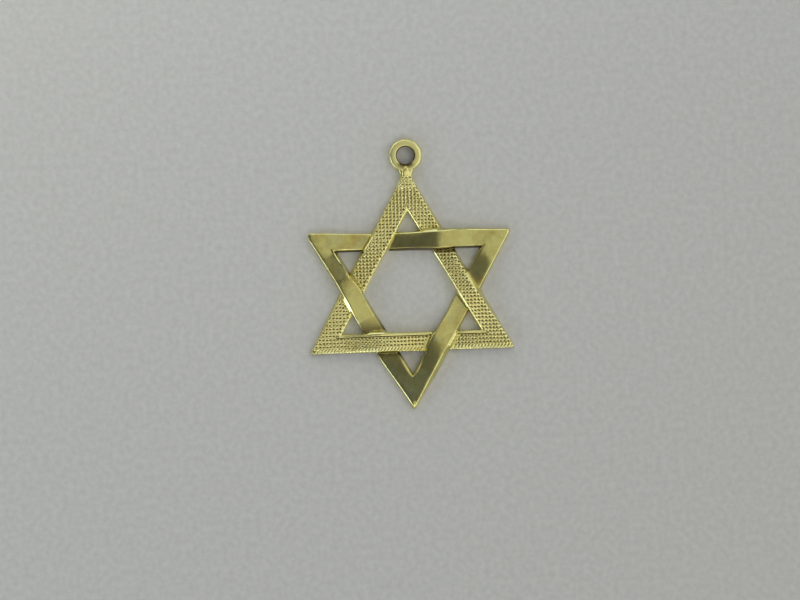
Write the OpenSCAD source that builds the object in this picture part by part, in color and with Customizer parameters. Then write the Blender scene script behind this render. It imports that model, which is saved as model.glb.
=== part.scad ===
// Interlaced six-pointed star pendant, struck in one piece with its hanging loop.
// Two flat-backed triangles weave over and under each other: one is polished, and the other
// is struck with a grid of round pits inside a smooth rim.
// It lies on its back. +Z comes out of the face and +Y points to the loop. Sizes in millimetres.

/* [Star] */
// Side of each triangle, between its sharp corners
side = 24.5; // [22:0.5:34]
// Radius that rounds the free tips, seen from above
tip_r = 0.22; // [0.1:0.02:0.4]

/* [Thickness] */
// Height of a band where it passes under the other one
under_t = 0.5; // [0.4:0.05:0.75]
// Height of a band where it passes over the other one
over_t = 1.45; // [1.2:0.05:2]
// Thickness of the level corners
corner_t = 0.8; // [0.6:0.05:1.1]

/* [Bands] */
// Width of the polished band at the back
polished_w = 2.15; // [1.8:0.05:2.5]
// Width of the pitted band at the back
textured_w = 2.25; // [1.8:0.05:2.5]
// Lean of the outer walls from upright, in degrees
outer_draft = 20; // [8:1:24]
// Lean of the inner walls from upright, in degrees
inner_draft = 12; // [6:1:18]
// Lean of the walls that come down on the band below, in degrees
crossing_draft = 26; // [15:1:35]

/* [Rim and pits] */
// Width of the smooth rim along the inner edge of the pitted band
rim_w = 0.2; // [0.15:0.01:0.3]
// Width of the groove beside the rim
groove_w = 0.12; // [0.08:0.01:0.16]
// Depth of the groove
groove_d = 0.1; // [0.06:0.01:0.16]
// Distance between neighbouring pits, along X and along Y
pit_pitch = 0.426; // [0.4:0.002:0.7]
// Radius of a pit at its mouth
pit_r = 0.15; // [0.1:0.01:0.18]
// Depth of a pit
pit_d = 0.13; // [0.08:0.01:0.18]

/* [Hanging loop] */
// Outer diameter of the loop
loop_od = 3.8; // [3.4:0.1:5]
// Diameter of the hole
hole_d = 2.12; // [1.6:0.02:2.4]
// Thickness of the loop
loop_t = 0.9; // [0.8:0.05:1.2]
// Radius that rounds the loop's outer edges
loop_soft = 0.3; // [0.1:0.01:0.35]
// Radius that rounds both mouths of the hole
hole_soft = 0.12; // [0.06:0.01:0.16]
// Space between the sharp top corner and the outside of the loop
loop_gap = 0.31; // [0.1:0.01:0.5]

/* [Neck] */
// Width of the neck where it leaves the star
neck_foot_w = 1.6; // [1.2:0.05:1.8]
// Width of the neck at its end on the loop
neck_tip_w = 0.95; // [0.6:0.05:1.1]
// How far the neck laps over the loop
neck_lap = 0.5; // [0.3:0.05:0.6]
// How far below the sharp corner the neck starts
neck_drop = 1.4; // [1:0.1:1.8]
// Height of the neck above the face of the loop
neck_proud = 0.12; // [0.05:0.01:0.2]

/* [Hidden] */

brass = "#a39e5d";
$fn = 48;
// How far a cutter reaches past the face that it opens
past = 0.05;

// Distances from the centre to a side's outer edge and to a sharp corner
in_r = side * tan(30) / 2;
out_r = side / sqrt(3);
// Place along a leg where the two bands cross, measured from the middle of the leg
cross_u = (in_r - (polished_w + textured_w) / 4) * tan(30);
// From here to its corner a leg is level, and its inner corner lies within that
level_u = side / 2 - max(polished_w, textured_w) * tan(60);
// Facets in each slope of a leg, and in each rounded corner
slope_steps = 8;
corner_steps = 4;

// The rim's outer edge and the groove's, as distances from the centre
rim_y = in_r - textured_w + corner_t * tan(inner_draft) + rim_w;
groove_y = rim_y + groove_w;
// Space left between the groove and the first row of pits
row_space = 0.02;
first_row = groove_y + row_space + pit_r;
// The foot of a crossing wall stands this far out from the edge above it
flare = (over_t - under_t) * tan(crossing_draft);

loop_y = out_r + loop_gap + loop_od / 2;
neck_y = out_r - neck_drop;
neck_end = out_r + loop_gap + neck_lap;
neck_t = loop_t + neck_proud;
// The neck's end is cut off at its corners by this much
neck_cut = neck_tip_w / 4;
// Middle of the outline along Y, where the origin lies
middle_y = (loop_y + loop_od / 2 - (out_r - tip_r)) / 2;

function ease(from, to, share) = from + (to - from) * (1 - cos(180 * share)) / 2;

// Height of a leg's face at u: each leg passes under at -cross_u and over at +cross_u
function face_z(u) =
    abs(u) >= level_u ? corner_t
    : u > cross_u ? ease(over_t, corner_t, (u - cross_u) / (level_u - cross_u))
    : u < -cross_u ? ease(under_t, corner_t, (-u - cross_u) / (level_u - cross_u))
    : ease(under_t, over_t, (u + cross_u) / (2 * cross_u));

function steps(from, to) = [for (i = [1:slope_steps]) from + (to - from) * i / slope_steps];

// Side view of a leg's face, set lower by drop and closed at the height close_z
function face_outline(drop, close_z) = concat(
    [[-side, close_z], [-side, corner_t - drop], [-level_u, corner_t - drop]],
    [for (u = steps(-level_u, -cross_u)) [u, face_z(u) - drop]],
    [for (u = steps(-cross_u, cross_u)) [u, face_z(u) - drop]],
    [for (u = steps(cross_u, level_u)) [u, face_z(u) - drop]],
    [[side, corner_t - drop], [side, close_z]]
);

// Points of an arc about [x, y], from one angle to another
function arc(x, y, r, from, to) = [
    for (i = [0:corner_steps])
        let (a = from + (to - from) * i / corner_steps) [x + r * cos(a), y + r * sin(a)]
];

// Carries a side view in u and z across a band, from y0 to y1
module across(y0, y1) {
    translate([0, y1, 0]) rotate([90, 0, 0]) linear_extrude(height = y1 - y0) children();
}

// Carries a cross-section in y and z along a whole leg
module along() {
    rotate([90, 0, 90]) translate([0, 0, -side]) linear_extrude(height = 2 * side) children();
}

// Cross-section of a band, whose walls lean inwards from its full width at the back
module leaning_section(w) {
    top = over_t + past;
    polygon([
        [in_r - w, 0],
        [in_r, 0],
        [in_r - top * tan(outer_draft), top],
        [in_r - w + top * tan(inner_draft), top]
    ]);
}

// Cross-section of a band over a crossing, at its full width on top and wider below
module crossing_section(w) {
    spread = over_t * tan(crossing_draft);
    polygon([
        [in_r - w - spread, 0],
        [in_r + spread, 0],
        [in_r, over_t],
        [in_r, over_t + past],
        [in_r - w, over_t + past],
        [in_r - w, over_t]
    ]);
}

// Upright triangle with a corner at -Y, whose sides stand at the distance r from the centre
module upright_triangle(r) {
    linear_extrude(height = over_t + past)
        polygon([for (k = [0:2]) 2 * r * [cos(30 + 120 * k), sin(30 + 120 * k)]]);
}

// One leg of a triangle, which runs on past both its corners
module leg(w) {
    intersection() {
        across(in_r - w - past, in_r + past) polygon(face_outline(0, 0));
        along() leaning_section(w);
    }
}

// All that lies within the three leaning outer walls and the rounded tips of a triangle
module outer_form() {
    intersection() {
        linear_extrude(height = over_t + past) rounded_plan();
        intersection_for (k = [0:2]) rotate(120 * k) along() leaning_section(side);
    }
}

// The raised stretch of a leg that comes down on the band below, no wider than that band
module crossing(w, below_w) {
    intersection() {
        across(in_r - w - 2 * flare, in_r + 2 * flare) polygon(face_outline(0, 0));
        along() crossing_section(w);
        rotate(-60) along() leaning_section(below_w);
    }
}

// Plan of a triangle with rounded tips at 30, 150 and 270 degrees
module rounded_plan() {
    polygon([
        for (k = [0:2])
            let (a = 30 + 120 * k, r = out_r - 2 * tip_r)
                each arc(r * cos(a), r * sin(a), tip_r, a - 60, a + 60)
    ]);
}

// A whole woven triangle, point down
module woven_triangle(w, below_w) {
    intersection() {
        union() {
            for (k = [0:2]) rotate(120 * k) leg(w);
        }
        outer_form();
    }
    for (k = [0:2]) rotate(120 * k) crossing(w, below_w);
}

// The groove beside the rim of one leg
module groove() {
    intersection() {
        across(rim_y, groove_y) polygon(face_outline(groove_d, over_t + past));
        upright_triangle(groove_y);
    }
}

// The polished triangle points away from the loop
module polished_triangle() {
    color(brass) woven_triangle(polished_w, textured_w);
}

// Is the point u, v of a leg on its open pitted face?
function pitted(u, v) =
    let (below = v * cos(60) - u * sin(60))
        abs(u) <= v * tan(60)
        && v >= first_row - past
        && v <= in_r - min(face_z(u), corner_t) * tan(outer_draft)
        && (below > in_r + flare + pit_r || below < in_r - polished_w - flare - pit_r);

// Pits of one leg, which stands turned by angle, on the grid that all legs share
module pits(angle) {
    columns = ceil(side / 2 / pit_pitch);
    rows = ceil((out_r + first_row) / pit_pitch);
    mouth = (pit_d + past) / pit_d * pit_r;
    for (i = [-columns:columns], j = [0:rows]) {
        x = i * pit_pitch;
        y = j * pit_pitch - first_row - pit_pitch;
        u = x * cos(angle) + y * sin(angle);
        v = y * cos(angle) - x * sin(angle);
        if (y < neck_y && pitted(u, v))
            translate([x, y, face_z(u) - pit_d]) cylinder(h = pit_d + past, r1 = 0, r2 = mouth);
    }
}

// Cuts the pits of the first few legs, one leg after the other
module struck(legs) {
    if (legs == 0)
        children();
    else
        difference() {
            struck(legs - 1) children();
            pits(60 + 120 * legs);
        }
}

// The pitted triangle points to the loop
module textured_triangle() {
    color(brass) struck(3) difference() {
        rotate(180) woven_triangle(textured_w, polished_w);
        for (k = [0:2]) rotate(180 + 120 * k) groove();
    }
}

// The loop lies flat in line with the star
module hanging_loop() {
    hole_r = hole_d / 2;
    loop_r = loop_od / 2;
    color(brass) translate([0, loop_y, 0]) rotate_extrude() polygon(concat(
        arc(hole_r + hole_soft, hole_soft, hole_soft, 180, 270),
        arc(loop_r - loop_soft, loop_soft, loop_soft, -90, 0),
        arc(loop_r - loop_soft, loop_t - loop_soft, loop_soft, 0, 90),
        arc(hole_r + hole_soft, loop_t - hole_soft, hole_soft, 90, 180)
    ));
}

// The drawn-out point of the pitted triangle, which laps over the loop
module neck() {
    color(brass) intersection() {
        linear_extrude(height = neck_t + past) polygon([
            [-neck_foot_w / 2, neck_y],
            [neck_foot_w / 2, neck_y],
            [neck_tip_w / 2, neck_end - neck_cut],
            [neck_tip_w / 2 - neck_cut, neck_end],
            [neck_cut - neck_tip_w / 2, neck_end],
            [-neck_tip_w / 2, neck_end - neck_cut]
        ]);
        rotate([90, 0, 90]) translate([0, 0, -neck_foot_w]) linear_extrude(height = 2 * neck_foot_w)
            polygon([
                [neck_y - past, 0],
                [neck_end + past, 0],
                [neck_end + past, loop_t],
                [neck_end - neck_cut, neck_t],
                [out_r, neck_t],
                [neck_y - past, corner_t]
            ]);
    }
}

module star_pendant() {
    translate([0, -middle_y, 0]) {
        polished_triangle();
        textured_triangle();
        hanging_loop();
        neck();
    }
}

star_pendant();
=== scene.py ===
"""Struck brass star pendant with a fixed loop, lying on its back on pale paper.

Two woven triangles, a hanging loop and its neck are modelled as closed skins in millimetres
about the star's centre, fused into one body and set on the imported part.
"""
import logging
import math
from dataclasses import dataclass, field
from enum import Enum

import bmesh
import bpy
import numpy as np
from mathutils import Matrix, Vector


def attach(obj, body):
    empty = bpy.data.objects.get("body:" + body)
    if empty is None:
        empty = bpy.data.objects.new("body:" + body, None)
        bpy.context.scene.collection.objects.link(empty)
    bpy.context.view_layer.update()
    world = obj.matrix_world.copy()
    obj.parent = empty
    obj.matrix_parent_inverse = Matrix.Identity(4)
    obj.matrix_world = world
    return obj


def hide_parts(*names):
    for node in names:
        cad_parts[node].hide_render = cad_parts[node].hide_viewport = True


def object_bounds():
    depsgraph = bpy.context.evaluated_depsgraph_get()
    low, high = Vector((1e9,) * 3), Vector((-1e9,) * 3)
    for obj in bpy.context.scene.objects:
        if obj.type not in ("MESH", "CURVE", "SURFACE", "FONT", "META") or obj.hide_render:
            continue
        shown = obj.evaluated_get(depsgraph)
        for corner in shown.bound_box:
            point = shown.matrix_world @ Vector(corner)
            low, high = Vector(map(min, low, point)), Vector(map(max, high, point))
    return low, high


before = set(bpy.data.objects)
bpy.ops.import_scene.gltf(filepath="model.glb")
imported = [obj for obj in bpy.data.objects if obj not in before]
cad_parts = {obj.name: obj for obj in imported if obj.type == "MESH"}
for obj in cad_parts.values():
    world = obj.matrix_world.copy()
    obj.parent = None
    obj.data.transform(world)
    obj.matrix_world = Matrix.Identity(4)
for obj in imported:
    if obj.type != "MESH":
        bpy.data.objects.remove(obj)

LOG = logging.getLogger("pendant")
MM = 0.001
NODE = "star_pendant"
BODY = "root"
SIN60 = math.sin(math.radians(60))
COS60 = math.cos(math.radians(60))
TAN60 = math.tan(math.radians(60))
# Points of a mesh that lie closer than this, in metres, are one point
MERGE = 1e-7
# Reach in millimetres over which a line through stations is rounded, and its samples
LINE_REACH = 0.12
LINE_SAMPLES = 7
# Slightly warm white of a lamp
LAMP_WHITE = "#FFFDF4"

# Blender's names of the nodes that are used more than once
MATH = "ShaderNodeMath"
VECTOR = "ShaderNodeVectorMath"
RANGE = "ShaderNodeMapRange"
MIX = "ShaderNodeMixRGB"
NOISE = "ShaderNodeTexNoise"
BUMP = "ShaderNodeBump"
PLACE = "ShaderNodeTexCoord"
MARK = "ShaderNodeAttribute"
SHADER = "ShaderNodeBsdfPrincipled"
SURFACE = "ShaderNodeOutputMaterial"
NAMED = "GeometryNodeInputNamedAttribute"

Array = np.ndarray


class Facing(Enum):
    """The way a triangle points, as its turn about the star's centre in degrees."""

    AWAY_FROM_LOOP = 0
    TO_LOOP = 180


class Edge(Enum):
    """The two long edges of a band."""

    INNER = "inner"
    OUTER = "outer"


def linear(code: str) -> tuple[float, float, float, float]:
    """Turns an sRGB hex colour into linear light.

    Args:
        code: Six hex digits after a hash sign.

    Returns:
        Red, green, blue and an alpha of one.
    """
    parts = [int(code[i:i + 2], 16) / 255 for i in (1, 3, 5)]
    red, green, blue = (c / 12.92 if c <= 0.04045 else ((c + 0.055) / 1.055) ** 2.4 for c in parts)
    return red, green, blue, 1.0


def smooth(low: float, high: float, value: Array) -> Array:
    """Eases from 0 at low to 1 at high for each value. Low may be the greater of the two."""
    share = np.clip((value - low) / (high - low), 0.0, 1.0)
    return share * share * (3 - 2 * share)


def add_node(tree: bpy.types.NodeTree, kind: str, links: dict | None = None,
             values: dict | None = None, **settings: object) -> "bpy.types.NodeOutputs":
    """Adds one node with its settings, socket values and incoming links.

    Args:
        tree: Tree that takes the node.
        kind: Blender's type name of the node.
        links: Input socket, by name or number, to the output socket that feeds it.
        values: Input socket, by name or number, to its value.
        **settings: Attributes of the node.

    Returns:
        The new node's output sockets.
    """
    node = tree.nodes.new(kind)
    for name, value in settings.items():
        setattr(node, name, value)
    for socket, value in (values or {}).items():
        node.inputs[socket].default_value = value
    for socket, source in (links or {}).items():
        tree.links.new(source, node.inputs[socket])
    return node.outputs


def new_material(name: str) -> bpy.types.Material:
    """Makes a material whose node tree is still empty.

    Args:
        name: What the surface is made of, and how.

    Returns:
        The material.
    """
    made = bpy.data.materials.new(name)
    made.use_nodes = True
    made.node_tree.nodes.clear()
    return made


@dataclass(frozen=True)
class StarPlan:
    """Plan sizes of the star in millimetres, the same as the solid's."""

    side: float = 24.5
    polished_w: float = 2.15
    textured_w: float = 2.25
    tip_r: float = 0.22
    inner_tip_r: float = 0.1
    loop_gap: float = 0.31
    loop_d: float = 3.8

    @property
    def loop_y(self) -> float:
        """Distance from the star's centre to the loop's."""
        return self.out_r + self.loop_gap + self.loop_d / 2

    @property
    def in_r(self) -> float:
        """Distance from the centre to the outer edge of a side."""
        return self.side / (2 * TAN60)

    @property
    def out_r(self) -> float:
        """Distance from the centre to a sharp corner."""
        return 2 * self.in_r

    @property
    def cross_u(self) -> float:
        """Place along a leg where the two bands' middles cross."""
        return (self.in_r - (self.polished_w + self.textured_w) / 4) / TAN60

    @property
    def level_u(self) -> float:
        """Place along a leg where its level corner starts."""
        return self.side / 2 - max(self.polished_w, self.textured_w) * TAN60


@dataclass(frozen=True)
class Wave:
    """Height of a band's face along a leg: it dips under one band and rises over the next."""

    plan: StarPlan
    under: float = 0.5
    over: float = 1.45
    corner: float = 0.8

    def height(self, u: Array, leg: "Leg") -> Array:
        """Gives the face's height.

        Args:
            u: Places along the leg, from its middle.
            leg: Lines of the leg, which say where its crest and its dip lie.

        Returns:
            Heights above the back.
        """
        cross, level = self.plan.cross_u, self.plan.level_u
        crest, low = cross + leg.late, -cross + leg.dip_late
        middle = self.ease(self.under, self.over, (u - low) / (crest - low))
        rise_side = self.ease(self.over, self.corner, (u - crest) / (level + leg.run_on - crest))
        dip_side = self.ease(self.under, self.corner, (low - u) / (level + low))
        return np.where(u > crest, rise_side, np.where(u < low, dip_side, middle))

    @staticmethod
    def ease(start: float, end: float, share: Array) -> Array:
        """Eases by half a cosine from start at share 0 to end at share 1, and is level outside."""
        return start + (end - start) * (1 - np.cos(np.pi * np.clip(share, 0, 1))) / 2


@dataclass(frozen=True)
class Leg:
    """Hand-finished lines of one leg in millimetres.

    Each line has six values: at the leg's start tip, where it passes under, at its middle, where
    it passes over, a little further on, and at its end tip. An inset carries the edge of the face
    inwards from the nominal side, and a foot carries the bottom of the wall outwards.
    """

    outer_inset: tuple[float, ...] = (0.05, 0.1, 0.1, 0.0, 0.05, 0.05)
    outer_foot: tuple[float, ...] = (0.03, 0.06, 0.15, 0.4, 0.2, 0.03)
    inner_inset: tuple[float, ...] = (0.3, 0.3, 0.32, 0.2, 0.3, 0.3)
    inner_foot: tuple[float, ...] = (0.0, 0.0, 0.0, 0.1, 0.0, 0.0)
    # Width of the buffed bevel along each edge
    outer_bevel: tuple[float, ...] = (0.0,) * 6
    inner_bevel: tuple[float, ...] = (0.0,) * 6
    # Radius that rounds its start tip and its end tip
    tip_r: tuple[float, float] = (0.22, 0.22)
    # Width of the shoulder on each side where the band comes down on the other
    outer_shoulder: float = 0.42
    inner_shoulder: float = 0.2
    # How far past its crossing the crest lies, and how far the slope behind it runs into the corner
    late: float = 0.0
    run_on: float = 0.0
    # How far past its crossing the dip lies
    dip_late: float = 0.0
    # Depth of the groove beside the rim, and how far the pits and the rope cut into the edges
    groove: float = 0.0
    rim_cut: float = 0.0
    edge_cut: float = 0.5
    rope: float = 0.0
    # Height of the lip that the pits raise along the outer edge
    lip: float = 0.0
    # How much fainter the pits are at its start tip and at its end tip
    faint: tuple[float, float] = (0.0, 0.0)
    # Painted shade, with some tarnish, on the two walls, and on the face before and after the band
    # above with its reach
    outer_shade_and_tarnish: float = 0.0
    inner_shade_and_tarnish: float = 0.0
    foot_shade_and_tarnish: tuple[float, float] = (0.0, 0.0)
    foot_reach: tuple[float, float] = (0.8, 0.8)
    # Bare space that the pits leave on the two sides of the band above
    clear_outer: float = 0.6
    clear_inner: float = 0.34


@dataclass(frozen=True)
class Walls:
    """How the walls round, and how a band's shoulders slope down to the one below."""

    top_round: float = 0.09
    foot_round: float = 0.05
    # Where the point between the floor and the wall lies, as shares of the foot's radius
    foot_in: float = 0.2
    foot_up: float = 0.3
    # Fall of a bevel or shoulder for its width, and run of the wall below a shoulder for its fall
    fall: float = 0.8
    run: float = 0.32
    # Share of a shoulder's width at which it meets the silhouette of the band below
    meet: float = 0.6
    # How far outside that silhouette a shoulder starts and ends, and how far inside it is whole
    start_slack: float = 0.15
    end_slack: float = 0.2
    ease: float = 0.5
    # Shares of the height at which a wall has points, and of its rounded top
    levels: tuple[float, ...] = (0.12, 0.3, 0.45, 0.58, 0.66, 0.74, 0.82, 0.91, 1.0)
    rounding: tuple[float, ...] = (0.2, 0.4, 0.6, 0.8)
    # Painted shade and tarnish on the rounded top of an inner wall, from its foot side to its face
    # side
    top_shade_and_tarnish: tuple[float, ...] = (0.8, 0.6, 0.3, 0.1)
    # Points of an outer wall, from its top down, that are left without painted shade
    unshaded_points: int = 6
    # Distance from the band above within which the painted shade on a face is whole
    shade_and_tarnish_whole: float = 0.1

    @property
    def points(self) -> int:
        """Number of points up one wall, without the one on the face."""
        return 2 + len(self.levels) + len(self.rounding)


@dataclass(frozen=True)
class CornerTilt:
    """A corner whose face was bent askew when the pendant was struck."""

    # Place of the bend's middle from the star's centre, and how far it reaches
    place: tuple[float, float]
    reach: float
    slope_x: float
    slope_y: float = 0.0
    # Share of its reach over which the bend is whole
    core: float = 0.35

    def lift(self, x: Array, y: Array) -> Array:
        """Gives the rise of the face.

        Args:
            x: Places from the star's centre.
            y: Places from the star's centre.

        Returns:
            Rises in millimetres, which are 0 out of reach.
        """
        along, up = x - self.place[0], y - self.place[1]
        share = smooth(self.reach, self.reach * self.core, np.hypot(along, up))
        return share * (self.slope_x * along + self.slope_y * up)


@dataclass
class Skin:
    """A closed grid of points: rows go round the object, columns round its section."""

    points: Array
    marks: dict[str, Array] = field(default_factory=dict)
    capped: bool = False

    def mesh(self, name: str, shift: Vector) -> bpy.types.Mesh:
        """Turns the grid into a mesh in metres with its faces outwards.

        Args:
            name: Name of the mesh.
            shift: Place of the star's centre in the part's frame, in metres.

        Returns:
            The mesh, with each mark as a point attribute.
        """
        rows, cols, _ = self.points.shape
        index = np.arange(rows * cols).reshape(rows, cols)
        after = np.roll(index, -1, axis=1)
        if self.capped:
            low, high, low_next, high_next = index[:-1], index[1:], after[:-1], after[1:]
        else:
            low, low_next = index, after
            high, high_next = np.roll(index, -1, axis=0), np.roll(after, -1, axis=0)
        quads = np.stack([low, low_next, high_next, high], axis=-1).reshape(-1, 4)
        faces = [tuple(q) for q in quads.tolist()]
        if self.capped:
            faces += [tuple(index[0][::-1].tolist()), tuple(index[-1].tolist())]
        mesh = bpy.data.meshes.new(name)
        places = self.points.reshape(-1, 3) * MM + np.array(shift)
        mesh.from_pydata(places.tolist(), [], faces)
        for mark, values in self.marks.items():
            attribute = mesh.attributes.new(mark, "FLOAT", "POINT")
            attribute.data.foreach_set("value", values.astype(np.float32).ravel())
        work = bmesh.new()
        work.from_mesh(mesh)
        bmesh.ops.remove_doubles(work, verts=work.verts, dist=MERGE)
        if work.calc_volume(signed=True) < 0:
            bmesh.ops.reverse_faces(work, faces=work.faces)
        work.to_mesh(mesh)
        work.free()
        mesh.update()
        return mesh


@dataclass
class WovenTriangle:
    """One closed band in the form of a triangle, woven under and over the other one."""

    plan: StarPlan
    wave: Wave
    walls: Walls
    width: float
    below_w: float
    facing: Facing
    legs: tuple[Leg, Leg, Leg]
    steps: int
    tilts: tuple[CornerTilt, ...] = ()
    crown: float = 0.012
    face_points: int = 9
    # Stations round each corner
    arc_steps: int = 6
    # How far past the crossing the fifth value of a leg's line lies
    settle: float = 2.2
    # Share of the half length from which the stations lean into the corner's mitre
    mitre_from: float = 0.7

    def along(self, values: tuple[float, ...], u: Array) -> Array:
        """Reads a hand-finished line.

        Args:
            values: Its six values.
            u: Places along the leg.

        Returns:
            The line's values, eased from one to the next.
        """
        plan = self.plan
        tip, cross = plan.side / 2, plan.cross_u
        places = (-tip, -cross, 0.0, cross, cross + self.settle, tip)
        result = np.full_like(u, values[0])
        for i in range(len(values) - 1):
            result += (values[i + 1] - values[i]) * smooth(places[i], places[i + 1], u)
        return result

    def over(self, leg: Leg, u: Array, edge: Edge) -> Array:
        """Gives the share of the shoulder over a crossing on one edge of the leg.

        Args:
            leg: Lines of the leg.
            u: Places along the leg.
            edge: Which edge of the band.

        Returns:
            1 where the band comes down on the one below, easing to 0 at its silhouette.
        """
        plan, walls = self.plan, self.walls
        if edge is Edge.OUTER:
            v = plan.in_r + leg.outer_shoulder * walls.meet
        else:
            v = plan.in_r - self.width - leg.inner_shoulder * walls.meet
        start = (plan.in_r - self.below_w - v / 2) / SIN60
        end = (plan.in_r - v / 2) / SIN60
        rising = smooth(start - walls.start_slack, start + walls.ease, u)
        falling = smooth(end + walls.end_slack, end - walls.ease, u)
        return rising * falling

    def face_line(self, leg: Leg) -> list[tuple[float, float, float]]:
        """Lists each face point's fixed distance in millimetres, share of the rest, and rise."""
        shares = np.linspace(0, 1, self.face_points)
        return [(0.0, share, self.crown * (1 - (2 * share - 1) ** 2)) for share in shares]

    def wall(self, leg: Leg, edge: Edge, u: Array) -> list[tuple[Array, Array]]:
        """Lists the points up one wall of the leg.

        Args:
            leg: Lines of the leg.
            edge: Which wall.
            u: Places of the stations along that edge.

        Returns:
            Distances from the star's centre and heights at every station, for each point from
            the wall's foot to the face.
        """
        plan, walls = self.plan, self.walls
        if edge is Edge.OUTER:
            base, outwards, shoulder = plan.in_r, 1, leg.outer_shoulder
            insets, feet, bevels = leg.outer_inset, leg.outer_foot, leg.outer_bevel
        else:
            base, outwards, shoulder = plan.in_r - self.width, -1, leg.inner_shoulder
            insets, feet, bevels = leg.inner_inset, leg.inner_foot, leg.inner_bevel
        height = self.wave.height(u, leg)
        over = self.over(leg, u, edge)
        inset, foot, bevel = (self.along(line, u) for line in (insets, feet, bevels))
        top = base - outwards * inset

        def outside(drop: Array) -> Array:
            """Gives how far the wall stands outside its top edge.

            Args:
                drop: Drops below the face, one for each station.

            Returns:
                Distances in millimetres.
            """
            slope = (foot + inset - bevel) / (height - walls.fall * bevel)
            plain = np.minimum(drop / walls.fall, bevel + (drop - walls.fall * bevel) * slope)
            below = shoulder + (drop - walls.fall * shoulder) * walls.run
            return plain + over * (np.minimum(drop / walls.fall, below) - plain)

        end = top + outwards * outside(height)
        rows = [
            (end - outwards * walls.foot_round, np.zeros_like(u)),
            (end - outwards * walls.foot_round * walls.foot_in,
             np.full_like(u, walls.foot_round * walls.foot_up)),
        ]
        stop = height - walls.top_round
        for share in walls.levels:
            z = walls.foot_round + (stop - walls.foot_round) * share
            rows.append((top + outwards * outside(height - z), z))
        low_v, low_z = rows[-1]
        inside_v = top - outwards * walls.top_round
        for t in walls.rounding:
            rows.append((
                (1 - t) ** 2 * low_v + 2 * t * (1 - t) * top + t ** 2 * inside_v,
                (1 - t) ** 2 * low_z + (1 - (1 - t) ** 2) * height,
            ))
        rows.append((inside_v, height))
        return rows

    def section(self, leg: Leg, stations: Array) -> tuple[Array, Array, Array, Array]:
        """Works out the band's section at each station.

        Args:
            leg: Lines of the leg.
            stations: Shares of the leg's half length, from -1 to 1.

        Returns:
            Places along the leg, distances from the centre, heights, and corner radii, each by
            station and section point.
        """
        plan = self.plan
        length = {
            Edge.INNER: (plan.in_r - self.width - plan.inner_tip_r) * TAN60,
            Edge.OUTER: (plan.in_r - plan.tip_r) * TAN60,
        }
        inner = self.wall(leg, Edge.INNER, stations * length[Edge.INNER])
        outer = self.wall(leg, Edge.OUTER, stations * length[Edge.OUTER])
        columns = [(v, z, 0.0) for v, z in inner[:-1]]
        start, end = inner[-1][0], outer[-1][0]
        for fixed, share, rise in self.face_line(leg):
            v = start + fixed + (end - start - fixed) * share
            depth = float(np.mean((v - plan.in_r + self.width) / self.width))
            u = stations * (length[Edge.INNER] + (length[Edge.OUTER] - length[Edge.INNER]) * depth)
            columns.append((v, self.wave.height(u, leg) + rise, depth))
        columns += [(v, z, 1.0) for v, z in reversed(outer[:-1])]
        # Two lines of points along the flat back
        for depth in (2 / 3, 1 / 3):
            v = inner[0][0] + (outer[0][0] - inner[0][0]) * depth
            columns.append((v, np.zeros_like(v), depth))
        v = np.stack([column[0] for column in columns], axis=1)
        z = np.stack([column[1] for column in columns], axis=1)
        depths = np.array([column[2] for column in columns])[None, :]
        tip_r = np.where(stations < 0, leg.tip_r[0], leg.tip_r[1])[:, None]
        corner_r = plan.inner_tip_r + (tip_r - plan.inner_tip_r) * depths
        nominal = length[Edge.INNER] + (length[Edge.OUTER] - length[Edge.INNER]) * depths
        mitre = smooth(self.mitre_from, 1.0, np.abs(stations))[:, None]
        reach = np.abs(stations)[:, None] * nominal + mitre * ((v - corner_r) * TAN60 - nominal)
        return np.sign(stations)[:, None] * reach, v, z, corner_r

    def marks(self, leg: Leg, u: Array, v: Array) -> dict[str, Array]:
        """Marks where pits, rope and painted shade with some tarnish go. A plain band has neither
        pits nor rope.
        """
        none = np.zeros_like(u)
        return {"strike": none, "rope": none, "shade_and_tarnish": self.shade_and_tarnish(leg, u, v)}

    def shade_and_tarnish(self, leg: Leg, u: Array, v: Array) -> Array:
        """Marks painted shade, with some tarnish, on the walls, and on the face beside the band
        above.

        Args:
            leg: Lines of the leg.
            u: Places along the leg, by station and section point.
            v: Places across it.

        Returns:
            Shares of painted shade and tarnish.
        """
        walls = self.walls
        upright = walls.points - len(walls.top_shade_and_tarnish)
        shares = np.zeros(u.shape[1])
        shares[:upright] = leg.inner_shade_and_tarnish
        shares[upright:walls.points] = np.array(walls.top_shade_and_tarnish) * leg.inner_shade_and_tarnish
        outer = np.repeat((0.0, 1.0), (walls.unshaded_points, walls.points - walls.unshaded_points))
        shares[-walls.points - 2:-2] = outer * leg.outer_shade_and_tarnish
        # Painted shade on the face beside the band above, whole near it and fading with distance
        foot = np.zeros_like(u)
        for away, shade_share, reach in zip(self.beside(u, v), leg.foot_shade_and_tarnish, leg.foot_reach):
            foot += shade_share * smooth(reach, walls.shade_and_tarnish_whole, away) * (away > 0)
        return np.clip(shares[None, :] + np.where(u < 0, foot, 0), 0, 1)

    def beside(self, u: Array, v: Array) -> tuple[Array, Array]:
        """Measures how far points lie outside the two edges of the band that passes over."""
        across = v * COS60 - u * SIN60
        return across - self.plan.in_r, self.plan.in_r - self.below_w - across

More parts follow.
